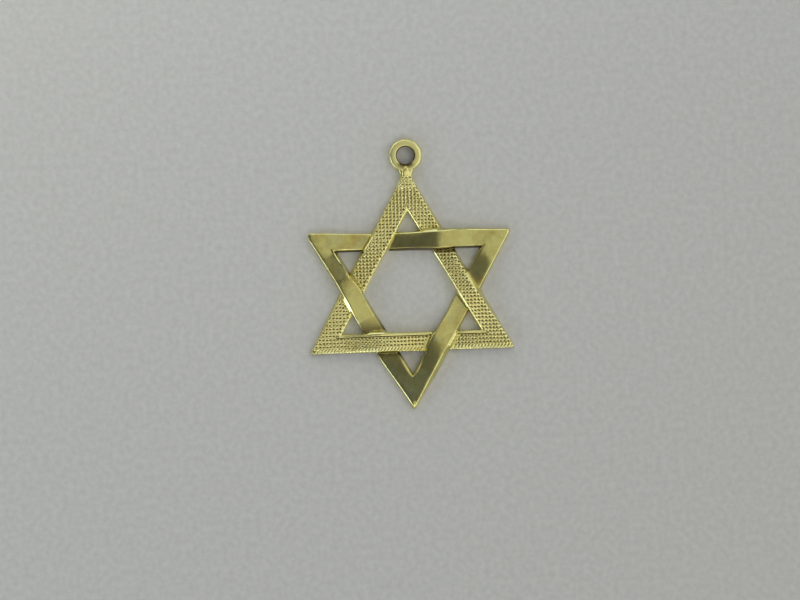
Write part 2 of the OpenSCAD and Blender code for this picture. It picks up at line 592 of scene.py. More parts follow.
    def skin(self) -> Skin:
        """Builds the whole band.

        Returns:
            The band's closed grid about the star's centre.
        """
        stations = np.linspace(-1, 1, self.steps)
        made = []
        for leg in self.legs:
            u, v, z, corner_r = self.section(leg, stations)
            made.append((u, v, z, corner_r, self.marks(leg, u, v)))
        rows, marks = [], {"strike": [], "rope": [], "shade_and_tarnish": []}
        for number, (u, v, z, corner_r, mark) in enumerate(made):
            rows.append(self.turned(u, v, z, -120 * number))
            for name, values in mark.items():
                marks[name].append(values)
            _, next_v, next_z, next_r, next_mark = made[(number + 1) % 3]
            for step in range(1, self.arc_steps):
                share = step / self.arc_steps
                swing = math.radians(120 * share)
                arc_v = v[-1] + (next_v[0] - v[-1]) * share
                arc_z = z[-1] + (next_z[0] - z[-1]) * share
                arc_r = corner_r[-1] + (next_r[0] - corner_r[-1]) * share
                arc_u = (arc_v - arc_r) * TAN60 + arc_r * math.sin(swing)
                across = arc_v - arc_r + arc_r * math.cos(swing)
                rows.append(self.turned(arc_u[None], across[None], arc_z[None], -120 * number))
                for name, values in mark.items():
                    between = values[-1] + (next_mark[name][0] - values[-1]) * share
                    marks[name].append(between[None])
        points = np.concatenate(rows)
        self.bend(points)
        return Skin(points, {name: np.concatenate(values) for name, values in marks.items()})

    def bend(self, points: Array) -> None:
        """Bends the corners that lie askew.

        Args:
            points: Points of the band, whose heights are changed.
        """
        for tilt in self.tilts:
            share = np.clip(points[..., 2] / self.wave.corner, 0, 1)
            points[..., 2] += share * tilt.lift(points[..., 0], points[..., 1])

    def turned(self, u: Array, v: Array, z: Array, angle: float) -> Array:
        """Turns leg points into the star's plan.

        Args:
            u: Places along the leg.
            v: Places across it.
            z: Heights.
            angle: Turn of the leg about the centre, in degrees.

        Returns:
            Points with their three coordinates last.
        """
        turn = math.radians(angle + self.facing.value)
        x = u * math.cos(turn) - v * math.sin(turn)
        y = u * math.sin(turn) + v * math.cos(turn)
        return np.stack([x, y, z], axis=-1)

    def build(self, name: str, shift: Vector, material: bpy.types.Material) -> bpy.types.Object:
        """Makes the band's object.

        Args:
            name: Name of the object.
            shift: Place of the star's centre, in metres.
            material: Finish of the band.

        Returns:
            The linked object.
        """
        mesh = self.skin().mesh(name, shift)
        mesh.materials.append(material)
        return placed(name, mesh)


@dataclass
class StruckTriangle(WovenTriangle):
    """The triangle that is struck with pits, inside a smooth rim and a groove."""

    rim_w: float = 0.2
    rim_crown: float = 0.03
    groove_w: float = 0.15
    # Points across the rim and the groove: shares of the width, and of the rise or the depth
    rim: tuple[tuple[float, float], ...] = (
        (0.0, 0.3), (0.3, 1.0), (0.6, 0.9), (0.85, 0.3), (1.0, 0.0),
    )
    groove: tuple[tuple[float, float], ...] = ((0.3, 0.8), (0.55, 1.0), (0.8, 0.6))
    field_points: int = 27
    # Shares of the field's width between which the lip rises, and falls again
    lip_rise: tuple[float, float] = (0.8, 0.87)
    lip_fall: tuple[float, float] = (1.02, 0.9)
    # Width of the rope along an outer edge, and how softly it starts
    rope_w: float = 0.42
    rope_soft: float = 0.05
    # Share of the rope on the wall, and share that is lost where the band passes over
    rope_wall: float = 0.6
    rope_lost: float = 0.3
    # Least strike on the groove, and on the first line of points beside it
    groove_strike: float = 0.2
    brink_strike: float = 0.6
    # How far before and after its bare space the punch starts to reach the face
    clear_soft: tuple[float, float] = (0.06, 0.04)
    # Distances from a leg's middle between which the pits grow fainter
    faint_from: float = 5.0
    faint_to: float = 9.0
    # Painted shade, with some tarnish, across the groove, and the depth of groove that holds all of
    # it
    groove_shade_and_tarnish: tuple[float, ...] = (0.2, 0.8, 1.0, 0.8, 0.2)
    full_shade_depth: float = 0.1

    def face_line(self, leg: Leg) -> list[tuple[float, float, float]]:
        """Lists the points across the rim, the groove and the pitted field.

        Args:
            leg: Lines of the leg.

        Returns:
            For each point its fixed distance from the inner end in millimetres, its share of the
            rest of the face, and its rise over the face.
        """
        rim_w = self.rim_w - self.walls.top_round / 2
        start = rim_w + self.groove_w
        points = [(share * rim_w, 0.0, self.rim_crown * lift) for share, lift in self.rim]
        for share, depth in self.groove:
            points.append((rim_w + share * self.groove_w, 0.0, -leg.groove * depth))
        shares = np.linspace(0, 1, self.field_points)
        lips = leg.lip * smooth(*self.lip_rise, shares) * smooth(*self.lip_fall, shares)
        return points + [(start, share, lip) for share, lip in zip(shares, lips)]

    def open_to_punch(self, leg: Leg, u: Array, v: Array) -> Array:
        """Gives the share of the punch that reaches points beside the band above.

        Args:
            leg: Lines of the leg.
            u: Places along the leg.
            v: Places across it.

        Returns:
            0 under the band above and at its foot, and 1 in the open.
        """
        before, after = self.clear_soft
        reached = np.zeros_like(u)
        for away, clear in zip(self.beside(u, v), (leg.clear_outer, leg.clear_inner)):
            reached += smooth(clear - before, clear + after, away)
        return np.where(u < 0, np.clip(reached, 0, 1), 1.0)

    def marks(self, leg: Leg, u: Array, v: Array) -> dict[str, Array]:
        """Marks the field that takes the pits, the outer edge that takes the rope, and painted
        shade with some tarnish.

        Args:
            leg: Lines of the leg.
            u: Places along the leg.
            v: Places across it.

        Returns:
            Shares of each mark for each point.
        """
        rim = self.walls.points
        groove = rim + len(self.rim)
        start = groove + len(self.groove)
        wall = start + self.field_points
        shares = np.zeros(v.shape[1])
        shares[rim - 2:groove] = leg.rim_cut
        shares[groove:start] = max(leg.rim_cut, self.groove_strike)
        shares[start] = max(leg.rim_cut, self.brink_strike)
        shares[start + 1:wall + 1] = 1.0
        # The pits cut into the top of the outer wall, but not over a crossing
        cut = np.zeros(v.shape[1])
        cut[wall + 1] = 1.0
        cut[wall + 2:wall + 5] = leg.edge_cut
        cut[wall + 5] = leg.edge_cut / 2
        over = self.over(leg, u[:, wall + 2], Edge.OUTER)[:, None]
        shares = shares[None, :] + cut[None, :] * (1 - over)
        rope = np.zeros(v.shape[1])
        rope[start:wall + 3] = 1.0
        rope[wall + 3:wall + 6] = self.rope_wall
        reached = self.open_to_punch(leg, u, v)
        brink = self.plan.in_r - self.rope_w
        edge = smooth(brink - self.rope_soft, brink + self.rope_soft, v)
        roped = reached * rope[None, :] * edge * leg.rope * (1 - over * self.rope_lost)
        strike = reached * shares * (1 - edge * leg.rope)
        for way, faint in zip((-1, 1), leg.faint):
            strike *= 1 - faint * smooth(self.faint_from, self.faint_to, way * u)
        return {"strike": strike, "rope": roped, "shade_and_tarnish": self.shade_and_tarnish(leg, u, v)}

    def shade_and_tarnish(self, leg: Leg, u: Array, v: Array) -> Array:
        """Marks painted shade and tarnish on the walls, the face beside the band above and the
        groove's bottom.

        Args:
            leg: Lines of the leg.
            u: Places along the leg, by station and section point.
            v: Places across it.

        Returns:
            Shares of painted shade and tarnish.
        """
        start = self.walls.points + len(self.rim) - 1
        shade_share = np.zeros(u.shape[1])
        shade_share[start:start + len(self.groove_shade_and_tarnish)] = self.groove_shade_and_tarnish
        shade_share = shade_share[None, :] * min(1.0, leg.groove / self.full_shade_depth)
        return np.maximum(super().shade_and_tarnish(leg, u, v), shade_share)


@dataclass(frozen=True)
class PitPunch:
    """The grid of round pits and the slanted rope that the punch leaves, in millimetres."""

    pitch: float = 0.426
    radius: float = 0.213
    # Radius of a pit's flat floor
    floor: float = 0.04
    depth: float = 0.12
    # The grid's rows lie this far above the star's centre
    row_shift: float = 0.054
    # How much the punch shrinks the distance to a pit's middle along X and along Y
    squash: tuple[float, float, float] = (0.86, 1.1, 0.0)
    # How far the blows stray from the grid, from side to side
    stray: float = 0.05
    # Depth of the weakest and of the strongest blow, as shares of the depth
    force: tuple[float, float] = (0.7, 1.15)
    rope_pitch: float = 0.4
    rope_slant: float = 0.55
    rope_depth: float = 0.1
    # Height on the rope's wave from which its seams are cut
    rope_crest: float = 0.68
    # Painted shade in the rope's seams, as a share of the painted shade in the pits
    rope_shade: float = 0.15
    # Picks which way each blow strays
    seed: float = 3.0

    def tree(self) -> bpy.types.NodeTree:
        """Builds the Geometry Nodes tree that sinks the pits and the rope into marked faces.

        Returns:
            The tree, with its sizes as named inputs.
        """
        tree = bpy.data.node_groups.new("pit_punch", "GeometryNodeTree")
        start = self.inputs(tree)
        place = add_node(tree, "GeometryNodeInputPosition")[0]
        local = add_node(tree, VECTOR, {0: place, 1: start["Centre"]}, operation="SUBTRACT")[0]
        pit, deep = self.pits(tree, start, local)
        cut = self.rope(tree, start, local)
        # Both sink the face against its normal, and leave the pit mark, where the finish paints
        # shade and dirt
        sink = add_node(tree, MATH, {0: pit, 1: deep}, operation="MULTIPLY")[0]
        drop = add_node(tree, MATH, {0: cut, 1: start["Rope depth"], 2: sink},
                        operation="MULTIPLY_ADD")[0]
        normal = add_node(tree, "GeometryNodeInputNormal")[0]
        inwards = add_node(tree, VECTOR, {0: normal}, {1: (-1, -1, -1)}, operation="MULTIPLY")[0]
        move = add_node(tree, VECTOR, {0: inwards, "Scale": drop}, operation="SCALE")[0]
        seam = add_node(tree, MATH, {0: cut}, {1: self.rope_shade}, operation="MULTIPLY")[0]
        shade = add_node(tree, MATH, {0: pit, 1: seam}, operation="MAXIMUM")[0]
        kept = add_node(tree, "GeometryNodeStoreNamedAttribute",
                        {"Geometry": start["Geometry"], "Value": shade}, {"Name": "pit"},
                        data_type="FLOAT", domain="POINT")[0]
        moved = add_node(tree, "GeometryNodeSetPosition", {"Geometry": kept, "Offset": move})[0]
        real = add_node(tree, "GeometryNodeRealizeInstances", {0: moved})[0]
        dressed = add_node(tree, "GeometryNodeSetMaterial",
                           {"Geometry": real, "Material": start["Finish"]})[0]
        add_node(tree, "NodeGroupOutput", {0: dressed})
        return tree

    @staticmethod
    def inputs(tree: bpy.types.NodeTree) -> "bpy.types.NodeOutputs":
        """Names the inputs and the output of the tree.

        Args:
            tree: The tree, which is still empty.

        Returns:
            The inputs, as sockets that feed the other nodes.
        """
        sockets = {
            "Geometry": ("Geometry",),
            "Float": (
                "Half pitch", "Pitch", "Radius", "Floor", "Depth", "Stray", "Rope depth", "Seed",
            ),
            "Vector": ("Centre", "Rope wave"),
            "Material": ("Finish",),
        }
        for kind, names in sockets.items():
            for name in names:
                tree.interface.new_socket(name, in_out="INPUT", socket_type="NodeSocket" + kind)
        tree.interface.new_socket("Geometry", in_out="OUTPUT", socket_type="NodeSocketGeometry")
        return add_node(tree, "NodeGroupInput")

    def pits(self, tree: bpy.types.NodeTree, start: "bpy.types.NodeOutputs",
             local: bpy.types.NodeSocket) -> tuple[bpy.types.NodeSocket, bpy.types.NodeSocket]:
        """Adds the pits, each in its own cell of the grid, whose number says how its blow strays.

        Args:
            tree: Tree that takes the nodes.
            start: The tree's inputs.
            local: Place of each point from the middle of the grid.

        Returns:
            How far each point lies into its pit, from 0 to 1, and the depth of that pit.
        """
        half, pitch = start["Half pitch"], start["Pitch"]
        below = add_node(tree, MATH, {0: half}, {1: -1.0}, operation="MULTIPLY")[0]
        cell = add_node(tree, VECTOR, {0: local, 1: half, 2: below}, operation="WRAP")[0]
        corner = add_node(tree, VECTOR, {0: local, 1: half}, operation="ADD")[0]
        level = add_node(tree, VECTOR, {0: corner}, {1: (1, 1, 0)}, operation="MULTIPLY")[0]
        number = add_node(tree, VECTOR, {0: level, 1: pitch}, operation="SNAP")[0]
        luck = add_node(tree, "ShaderNodeTexWhiteNoise", {"Vector": number, "W": start["Seed"]},
                        noise_dimensions="4D")
        side = add_node(tree, VECTOR, {0: luck["Color"]}, {1: (0.5, 0.5, 0.5)},
                        operation="SUBTRACT")[0]
        stray = add_node(tree, VECTOR, {0: side, "Scale": start["Stray"]}, operation="SCALE")[0]
        struck = add_node(tree, VECTOR, {0: cell, 1: stray}, operation="ADD")[0]
        flat = add_node(tree, VECTOR, {0: struck}, {1: self.squash}, operation="MULTIPLY")[0]
        away = add_node(tree, VECTOR, {0: flat}, operation="LENGTH")["Value"]
        sunk = add_node(tree, RANGE,
                        {"Value": away, "From Min": start["Floor"], "From Max": start["Radius"]},
                        {"To Min": 1.0, "To Max": 0.0}, interpolation_type="SMOOTHSTEP")[0]
        strike = add_node(tree, NAMED, None, {"Name": "strike"})["Attribute"]
        pit = add_node(tree, MATH, {0: sunk, 1: strike}, operation="MULTIPLY")[0]
        force = add_node(tree, RANGE, {"Value": luck["Value"]},
                         {"To Min": self.force[0], "To Max": self.force[1]})[0]
        deep = add_node(tree, MATH, {0: force, 1: start["Depth"]}, operation="MULTIPLY")[0]
        return pit, deep

    def rope(self, tree: bpy.types.NodeTree, start: "bpy.types.NodeOutputs",
             local: bpy.types.NodeSocket) -> bpy.types.NodeSocket:
        """Adds the rope, a slanted wave along the edge whose seams are cut in.

        Args:
            tree: Tree that takes the nodes.
            start: The tree's inputs.
            local: Place of each point from the middle of the grid.

        Returns:
            How far each point lies into a seam, from 0 to 1.
        """
        phase = add_node(tree, VECTOR, {0: local, 1: start["Rope wave"]},
                         operation="DOT_PRODUCT")["Value"]
        ripple = add_node(tree, MATH, {0: phase}, operation="COSINE")[0]
        strand = add_node(tree, MATH, {0: ripple}, operation="ABSOLUTE")[0]
        valley = add_node(tree, RANGE, {"Value": strand},
                          {"From Min": self.rope_crest, "From Max": 1.0})[0]
        rope = add_node(tree, NAMED, None, {"Name": "rope"})["Attribute"]
        return add_node(tree, MATH, {0: valley, 1: rope}, operation="MULTIPLY")[0]

    def punch(self, piece: bpy.types.Object, shift: Vector, finish: bpy.types.Material) -> None:
        """Strikes the pits into a piece and leaves it a plain mesh.

        Args:
            piece: Piece whose mesh carries the marks.
            shift: Place of the star's centre, in metres.
            finish: Material of the struck piece.
        """
        tree = self.tree()
        press = piece.modifiers.new("pits", "NODES")
        press.node_group = tree
        wave = math.pi / (self.rope_pitch * MM)
        settings = {
            "Half pitch": self.pitch / 2 * MM,
            "Pitch": self.pitch * MM,
            "Stray": self.stray * MM,
            "Radius": self.radius * MM,
            "Floor": self.floor * MM,
            "Depth": self.depth * MM,
            "Rope depth": self.rope_depth * MM,
            "Seed": self.seed,
            "Centre": (shift.x, shift.y + self.row_shift * MM, 0.0),
            "Rope wave": (wave, -wave * self.rope_slant, 0.0),
            "Finish": finish,
        }
        for item in tree.interface.items_tree:
            if item.item_type == "SOCKET" and item.in_out == "INPUT" and item.name in settings:
                press[item.identifier] = settings[item.name]
        bake(piece)


@dataclass
class HangingLoop:
    """Flat ring with rounded edges, in line with the star."""

    plan: StarPlan
    outer_d: float = 3.98
    hole_d: float = 2.12
    thick: float = 0.9
    outer_soft: float = 0.34
    hole_soft: float = 0.2
    steps: int = 96
    corner_steps: int = 6
    # The outside was filed round by hand, which leaves a few soft flats
    flats: int = 9
    flat_depth: float = 0.025
    # How far out from the hole the flats start, and how far round the ring the first one is turned
    flat_from: float = 0.3
    flat_turn: float = 0.4
    # Fall of its face to the right
    tilt: float = 0.09
    # Painted shade on the face beside the neck: how far out from the hole it thins, from which
    # heights round the ring it starts and is whole, and its share far out
    shade_out: tuple[float, float] = (0.5, 0.15)
    shade_low: tuple[float, float] = (-0.6, -0.9)
    shade_far: float = 0.25

    def build(self, shift: Vector, material: bpy.types.Material) -> bpy.types.Object:
        """Turns the ring's rounded section round the hole.

        Args:
            shift: Place of the star's centre, in metres.
            material: Finish of the ring.

        Returns:
            The linked object.
        """
        inner, outer = self.hole_d / 2, self.outer_d / 2
        corners = [
            (inner + self.hole_soft, self.hole_soft, self.hole_soft, 180, 270),
            (outer - self.outer_soft, self.outer_soft, self.outer_soft, 270, 360),
            (outer - self.outer_soft, self.thick - self.outer_soft, self.outer_soft, 0, 90),
            (inner + self.hole_soft, self.thick - self.hole_soft, self.hole_soft, 90, 180),
        ]
        section = [
            (r + soft * math.cos(math.radians(a)), z + soft * math.sin(math.radians(a)))
            for r, z, soft, start, end in corners
            for a in np.linspace(start, end, self.corner_steps)
        ]
        turns = (np.arange(self.steps) * 2 * np.pi / self.steps)[:, None]
        r, z = (np.array(values)[None, :] for values in zip(*section))
        outside = np.clip((r - inner - self.flat_from) / (outer - inner - self.flat_from), 0, 1)
        r = r - outside * self.flat_depth * np.abs(np.cos(turns * self.flats / 2 + self.flat_turn))
        points = np.stack([
            r * np.cos(turns),
            self.plan.loop_y + r * np.sin(turns),
            z * (1 - self.tilt * r * np.cos(turns)),
        ], axis=-1)
        # Painted shade darkens the part beside the neck and the hole's wall, which is the first two
        # and the last four points of the section
        wall = np.zeros(r.shape[1])
        wall[:2] = wall[-4:] = 1.0
        near = smooth(inner + self.shade_out[0], inner + self.shade_out[1], r)
        low = smooth(*self.shade_low, np.sin(turns)) * (self.shade_far + (1 - self.shade_far) * near)
        mesh = Skin(points, {"shade_and_tarnish": np.maximum(low, wall[None, :])}).mesh("hanging_loop", shift)
        mesh.materials.append(material)
        return placed("hanging_loop", mesh)


@dataclass
class Neck:
    """The drawn-out top point of the struck triangle, which laps over the loop."""

    plan: StarPlan
    # Place of each station from the star's centre, its half width and its height
    tongue: tuple[tuple[float, float, float], ...] = (
        (12.6, 0.9, 0.7), (13.2, 0.78, 0.82), (13.75, 0.67, 0.86), (14.1, 0.62, 0.93),
        (14.35, 0.57, 1.0), (14.55, 0.5, 1.05), (14.74, 0.4, 1.06), (14.9, 0.26, 1.02),
        (15.02, 0.05, 0.93),
    )
    web: tuple[tuple[float, float, float], ...] = (
        (11.8, 1.44, 0.55), (12.15, 1.36, 0.8), (12.67, 1.16, 0.83), (13.2, 0.94, 0.83),
        (13.63, 0.77, 0.83), (13.9, 0.71, 0.83), (14.2, 0.74, 0.82), (14.47, 0.86, 0.8),
        (14.7, 1.0, 0.78), (14.95, 0.9, 0.7),
    )
    # Power of each form's section, from 2 for a round one up to a square one, and its sides'
    # painted shade
    tongue_form: tuple[float, float] = (3.6, 0.6)
    web_form: tuple[float, float] = (6.0, 0.0)
    steps: int = 62
    points: int = 41
    # The pits end here, over a short way, and are as faint as the band's beside them
    last_row: float = 13.98
    row_soft: float = 0.05
    strike: float = 0.85
    # Share of the height from which the section is face, and shares between which its painted shade
    # ends
    face_from: float = 0.85
    shade_lift: tuple[float, float] = (0.9, 0.6)

    def loft(self, name: str, stations: tuple[tuple[float, float, float], ...],
             form: tuple[float, float], shift: Vector) -> bpy.types.Mesh:
        """Lofts a flat-topped body through its stations.

        Args:
            name: Name of the mesh.
            stations: Place, half width and height of each section.
            form: Power of the section's outline, and share of painted shade on its sides.
            shift: Place of the star's centre, in metres.

        Returns:
            The closed mesh with its strike marks.
        """
        square, side_shade = form
        places, halves, tops = (np.array(values) for values in zip(*stations))
        y = np.linspace(places[0], places[-1], self.steps)
        half, top = rounded_line(places, halves, y), rounded_line(places, tops, y)
        side = -np.sin(np.linspace(-math.pi / 2, math.pi / 2, self.points))
        lift = np.clip(1 - np.abs(side) ** square, 0, 1) ** (1 / square)
        x = half[:, None] * side[None, :]
        z = top[:, None] * lift[None, :]
        points = np.stack([x, np.broadcast_to(y[:, None], x.shape), z], axis=-1)
        strike = smooth(self.last_row + self.row_soft, self.last_row - self.row_soft,
                        points[..., 1])
        strike = strike * (lift[None, :] > self.face_from) * self.strike
        # Painted shade darkens the rounded sides
        shade_and_tarnish = np.broadcast_to(side_shade * smooth(*self.shade_lift, lift), x.shape)
        marks = {"strike": strike, "rope": np.zeros_like(strike), "shade_and_tarnish": shade_and_tarnish}
        return Skin(points, marks, capped=True).mesh(name, shift)

    def build(self, shift: Vector, finish: bpy.types.Material) -> list[bpy.types.Object]:
        """Builds the tongue and the web that carries it to the loop.

        Args:
            shift: Place of the star's centre, in metres.
            finish: Finish of the neck.

        Returns:
            The two linked objects.
        """
        pieces = []
        forms = (("tongue", self.tongue, self.tongue_form), ("web", self.web, self.web_form))
        for name, stations, form in forms:
            mesh = self.loft(name, stations, form, shift)
            mesh.materials.append(finish)
            pieces.append(placed(name, mesh))
        return pieces


def rounded_line(places: Array, values: Array, at: Array) -> Array:
    """Draws a smooth line through points, by averaging a straight one over a short reach."""
    steps = np.linspace(-LINE_REACH, LINE_REACH, LINE_SAMPLES)
    return sum(np.interp(at + step, places, values) for step in steps) / LINE_SAMPLES


def placed(name: str, mesh: bpy.types.Mesh) -> bpy.types.Object:
    """Links a new object that holds the mesh.

    Args:
        name: Name of the object.
        mesh: Its mesh.

    Returns:
        The object, at the origin.
    """
    piece = bpy.data.objects.new(name, mesh)
    bpy.context.scene.collection.objects.link(piece)
    return piece


def bake(piece: bpy.types.Object) -> None:
    """Turns a piece with live modifiers into a plain mesh.

    Args:
        piece: Piece that is evaluated. Its modifiers are removed.
    """
    graph = bpy.context.evaluated_depsgraph_get()
    mesh = bpy.data.meshes.new_from_object(piece.evaluated_get(graph))
    piece.modifiers.clear()
    old = piece.data
    piece.data = mesh
    bpy.data.meshes.remove(old)


def fuse(name: str, first: bpy.types.Object, others: list[bpy.types.Object]) -> bpy.types.Object:
    """Joins overlapping closed pieces into one skin, which stays sharp where two finishes meet.

    Args:
        name: Name of the fused piece.
        first: Piece that takes the others in.
        others: Pieces that are used up.

    Returns:
        The fused piece.
    """
    for other in others:
        join = first.modifiers.new("join", "BOOLEAN")
        join.operation = "UNION"
        join.solver = "MANIFOLD"
        join.material_mode = "TRANSFER"
        join.object = other
        bake(first)
        bpy.data.objects.remove(other)
    first.name = name
    first.data.name = name
    work = bmesh.new()
    work.from_mesh(first.data)
    for face in work.faces:
        face.smooth = True
    for edge in work.edges:
        if len(edge.link_faces) == 2:
            one, two = edge.link_faces
            edge.smooth = one.material_index == two.material_index
    work.to_mesh(first.data)
    work.free()
    return first


# The polished triangle's legs: along the top, down the right side and up the left side
# Their wall and foot values paint shade, with some tarnish, on walls and beside the crossings
POLISHED_LEGS = (
    Leg(
        outer_inset=(-0.2, 0.12, 0.1, 0.0, -0.1, 0.08),
        outer_foot=(0.1, 0.05, 0.15, 0.45, 0.38, 0.12),
        inner_inset=(0.3, 0.3, 0.35, 0.25, 0.3, 0.3),
        inner_foot=(-0.05, -0.05, 0.0, 0.1, -0.05, -0.05),
        outer_bevel=(0.12,) * 6, tip_r=(0.5, 0.3), inner_shoulder=0.1, late=0.65,
        inner_shade_and_tarnish=0.9, foot_shade_and_tarnish=(0.1, 0.25),
    ),
    Leg(
        outer_inset=(0.05, 0.0, 0.0, 0.1, 0.15, 0.12),
        outer_foot=(0.15, 0.25, 0.25, 0.42, 0.38, 0.12),
        inner_inset=(0.15, 0.05, 0.25, 0.0, 0.15, 0.2),
        inner_foot=(0.0, 0.05, 0.0, 0.15, 0.05, 0.0),
        outer_bevel=(0.07, 0.07, 0.0, 0.0, 0.1, 0.1), tip_r=(0.3, 0.22), inner_shoulder=0.12,
        dip_late=0.6, inner_shade_and_tarnish=0.1, foot_shade_and_tarnish=(0.25, 0.2), foot_reach=(1.3, 0.8),
    ),
    Leg(
        outer_inset=(0.15, -0.2, -0.15, 0.1, 0.2, 0.16),
        outer_foot=(0.12, 0.35, 0.3, 0.25, 0.12, 0.03),
        inner_inset=(0.2, 0.25, 0.3, 0.1, 0.3, 0.3),
        inner_foot=(0.0, 0.0, 0.0, 0.0, 0.0, -0.05),
        outer_bevel=(0.13,) * 6, tip_r=(0.22, 0.5), outer_shoulder=0.5, inner_shoulder=0.08,
        late=1.7, run_on=0.9, inner_shade_and_tarnish=0.15, foot_shade_and_tarnish=(1.0, 0.8), foot_reach=(1.3, 2.4),
    ),
)
# The point of the polished triangle was bent, so its face looks to the left and its very tip to
# the right. The top left corner was bent up, and the right leg was bent below its corner
POLISHED_TILTS = (
    CornerTilt((0.0, -14.1), 8.5, 0.1, 0.03),
    CornerTilt((0.0, -14.1), 1.1, -0.25),
    CornerTilt((-11.2, 6.3), 8.0, -0.032),
    CornerTilt((8.9, 2.3), 2.9, 0.05),
)
# The struck triangle's legs: along the bottom, up the left side and down the right side
# Their wall and foot values paint shade, with some tarnish, on walls and beside the crossings
STRUCK_LEGS = (
    Leg(
        outer_inset=(0.14,) * 6,
        outer_foot=(0.08, 0.1, 0.1, 0.15, 0.1, 0.06),
        inner_inset=(0.15, 0.15, 0.15, 0.12, 0.15, 0.15),
        inner_foot=(0.0, 0.0, 0.0, 0.05, 0.0, 0.0),
        outer_bevel=(0.24,) * 6, outer_shoulder=0.1, inner_shoulder=0.22, groove=0.12, rope=1.0,
        outer_shade_and_tarnish=1.0, clear_inner=0.55,
    ),
    Leg(
        outer_inset=(0.05, -0.05, -0.15, 0.12, -0.15, -0.2),
        outer_foot=(0.1, 0.3, 0.35, 0.45, 0.3, 0.3),
        inner_inset=(0.2, 0.25, 0.25, 0.2, 0.25, 0.2),
        inner_foot=(0.0, 0.0, 0.0, 0.1, 0.0, 0.0),
        inner_bevel=(0.2, 0.24, 0.24, 0.2, 0.24, 0.2), outer_shoulder=0.22, inner_shoulder=0.16,
        groove=0.03, rim_cut=1.0, edge_cut=0.8, faint=(0.0, 0.15), clear_inner=0.3,
    ),
    Leg(
        outer_inset=(-0.15, 0.2, 0.3, 0.38, 0.32, 0.08),
        outer_foot=(0.3, 0.25, 0.15, 0.35, 0.15, 0.05),
        inner_inset=(0.25, 0.25, 0.25, 0.2, 0.2, 0.2),
        inner_foot=(0.0, 0.0, 0.0, 0.15, 0.15, 0.0),
        outer_bevel=(0.1, 0.2, 0.22, 0.22, 0.22, 0.1), inner_bevel=(0.2,) * 6, outer_shoulder=0.36,
        inner_shoulder=0.3, rim_cut=0.9, edge_cut=1.0, faint=(0.15, 0.0), lip=0.035,
        outer_shade_and_tarnish=0.1, foot_shade_and_tarnish=(0.3, 1.0), foot_reach=(0.4, 0.55), clear_inner=0.12,
    ),
)


